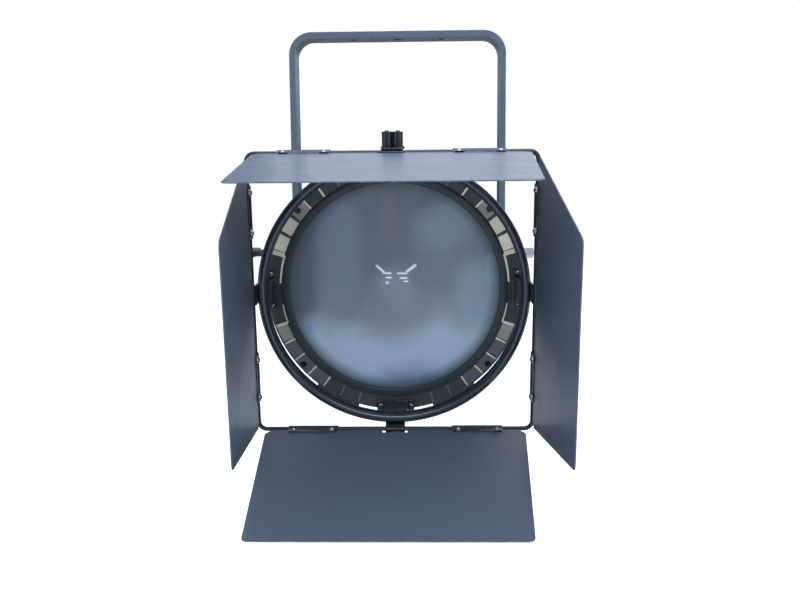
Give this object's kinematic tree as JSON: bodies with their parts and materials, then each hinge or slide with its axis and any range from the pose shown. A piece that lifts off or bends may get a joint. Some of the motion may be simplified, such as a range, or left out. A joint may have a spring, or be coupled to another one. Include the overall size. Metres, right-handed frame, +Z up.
{
  "type": "fresnel spotlight",
  "caption": "Hanging fresnel spotlight with a round frosted lens, a U-shaped yoke, a rotating square rod frame and hinged sheet barn-door leaves.",
  "frame": {"origin": "centre of the yoke bar's upper face, on the axis of the hanging bolt", "axes": "+Z up, the lamp shines towards -Y, +X to the right as seen from the front"},
  "size_m": [0.4025, 0.6901, 0.5103],
  "materials": {
    "slate_paint": "satin powder coat",
    "dark_paint": "satin powder coat",
    "cast_paint": "cast metal with dark satin paint",
    "leaf_paint": "matt dark slate paint on aluminium sheet",
    "black_steel": "black semi-gloss steel",
    "zinc_steel": "zinc-plated steel",
    "black_plastic": "fine textured black plastic",
    "display_plastic": "dark tinted window",
    "raw_aluminium": "bare extruded aluminium",
    "mirror_aluminium": "polished reflector",
    "frosted_glass": "smooth front, frosted, fresnel steps behind",
    "silicone_rubber": "black silicone",
    "fibre": "brown friction fibre",
    "phosphor": "aluminium-backed board with yellow emitter"
  },
  "bodies": {
    "yoke": {"yoke_bracket": "slate_paint", "pivot_bolt": "zinc_steel", "tension_nut": "zinc_steel"},
    "tilt_lock": {"tilt_lock_handle": "black_plastic"},
    "head": {"friction_disc_left": "fibre", "friction_disc_right": "fibre", "front_bezel": "cast_paint", "lens_retaining_ring": "black_plastic", "lens_gasket": "silicone_rubber", "fresnel_lens": "frosted_glass", "latch_housing": "dark_paint", "claw_right": "black_steel", "claw_bottom": "black_steel", "claw_left": "black_steel", "barrel": "dark_paint", "pivot_boss_left": "cast_paint", "pivot_boss_right": "cast_paint", "rear_housing": "black_plastic", "rear_panel": "dark_paint", "display_window": "display_plastic", "power_inlet": "black_plastic", "data_socket_in": "zinc_steel", "data_socket_out": "zinc_steel", "power_supply": "raw_aluminium", "rail_plate_front": "raw_aluminium", "rail_plate_rear": "raw_aluminium", "focus_rail_left": "zinc_steel", "focus_rail_right": "zinc_steel"},
    "latch": {"latch_hook": "black_steel"},
    "focus_drive": {"focus_screw": "zinc_steel", "focus_knob": "black_plastic"},
    "carriage": {"lamp_carriage": "raw_aluminium", "heat_sink": "raw_aluminium", "led_board": "phosphor", "reflector": "mirror_aluminium", "fan_frame": "black_plastic"},
    "fan": {"fan_rotor": "black_plastic"},
    "button_1": {"menu_button_1": "black_plastic"},
    "button_2": {"menu_button_2": "black_plastic"},
    "button_3": {"menu_button_3": "black_plastic"},
    "dial": {"dial_knob": "black_plastic"},
    "rocker": {"power_switch": "black_plastic"},
    "barn_door": {"barndoor_ring": "black_steel", "rod_frame": "black_steel", "frame_bracket_top": "black_steel", "frame_bracket_right": "black_steel", "frame_bracket_bottom": "black_steel", "frame_bracket_left": "black_steel"},
    "door_top": {"leaf_top": "leaf_paint", "hinge_clip_top_a": "black_steel", "hinge_clip_top_b": "black_steel"},
    "door_right": {"leaf_right": "leaf_paint", "hinge_clip_right_a": "black_steel", "hinge_clip_right_b": "black_steel"},
    "door_bottom": {"leaf_bottom": "leaf_paint", "hinge_clip_bottom_a": "black_steel", "hinge_clip_bottom_b": "black_steel"},
    "door_left": {"leaf_left": "leaf_paint", "hinge_clip_left_a": "black_steel", "hinge_clip_left_b": "black_steel"}
  },
  "joints": [
    {"name": "tilt", "type": "hinge", "parent": "yoke", "child": "head", "pos_m": [0, 0, -0.295], "axis": [1, 0, 0], "range_deg": [-35, 84]},
    {"name": "tilt_lock_turn", "type": "hinge", "parent": "yoke", "child": "tilt_lock", "pos_m": [-0.16, 0, -0.295], "axis": [1, 0, 0], "range_deg": [-90, 180]},
    {"name": "ring_turn", "type": "hinge", "parent": "head", "child": "barn_door", "pos_m": [0, -0.26663, -0.32208], "axis": [0, 0.9949, 0.1011], "continuous": true},
    {"name": "leaf_top_hinge", "type": "hinge", "parent": "barn_door", "child": "door_top", "pos_m": [0, -0.28841, -0.17001], "axis": [1, 0, 0], "range_deg": [-91.9, 86.1]},
    {"name": "leaf_right_hinge", "type": "hinge", "parent": "barn_door", "child": "door_right", "pos_m": [0.1535, -0.2729, -0.32272], "axis": [0, -0.1011, 0.9949], "range_deg": [-79.7, 88.8]},
    {"name": "leaf_bottom_hinge", "type": "hinge", "parent": "barn_door", "child": "door_bottom", "pos_m": [0, -0.25738, -0.47543], "axis": [-1, 0, 0], "range_deg": [-87.6, 80.9]},
    {"name": "leaf_left_hinge", "type": "hinge", "parent": "barn_door", "child": "door_left", "pos_m": [-0.1535, -0.2729, -0.32272], "axis": [0, 0.1011, -0.9949], "range_deg": [-82.7, 95.3]},
    {"name": "latch_press", "type": "slide", "parent": "head", "child": "latch", "axis": [0, 0.1011, -0.9949], "range_m": [0, 0.004], "stiffness_N_per_m": 900, "springref_m": -0.002},
    {"name": "carriage_slide", "type": "slide", "parent": "head", "child": "carriage", "axis": [0, 0.9949, 0.1011], "range_m": [-0.04, 0.04]},
    {"name": "focus_turn", "type": "hinge", "parent": "head", "child": "focus_drive", "pos_m": [0, 0.1456, -0.37268], "axis": [0, 0.9949, 0.1011], "range_deg": [-720, 720]},
    {"name": "fan_spin", "type": "hinge", "parent": "carriage", "child": "fan", "pos_m": [0, -0.02288, -0.29732], "axis": [0, 0.9949, 0.1011], "continuous": true},
    {"name": "button_1_press", "type": "slide", "parent": "head", "child": "button_1", "axis": [0, -0.9949, -0.1011], "range_m": [0, 0.0015], "stiffness_N_per_m": 600, "springref_m": -0.0008},
    {"name": "button_2_press", "type": "slide", "parent": "head", "child": "button_2", "axis": [0, -0.9949, -0.1011], "range_m": [0, 0.0015], "stiffness_N_per_m": 600, "springref_m": -0.0008},
    {"name": "button_3_press", "type": "slide", "parent": "head", "child": "button_3", "axis": [0, -0.9949, -0.1011], "range_m": [0, 0.0015], "stiffness_N_per_m": 600, "springref_m": -0.0008},
    {"name": "dial_turn", "type": "hinge", "parent": "head", "child": "dial", "pos_m": [0.066, 0.13549, -0.2732], "axis": [0, 0.9949, 0.1011], "continuous": true},
    {"name": "rocker_tilt", "type": "hinge", "parent": "head", "child": "rocker", "pos_m": [-0.068, 0.12972, -0.27579], "axis": [-1, 0, 0], "range_deg": [0, 12]}
  ],
  "couplings": [
    {"joint": "focus_turn", "follows": "carriage_slide", "rad_per_m": 314.16}
  ]
}
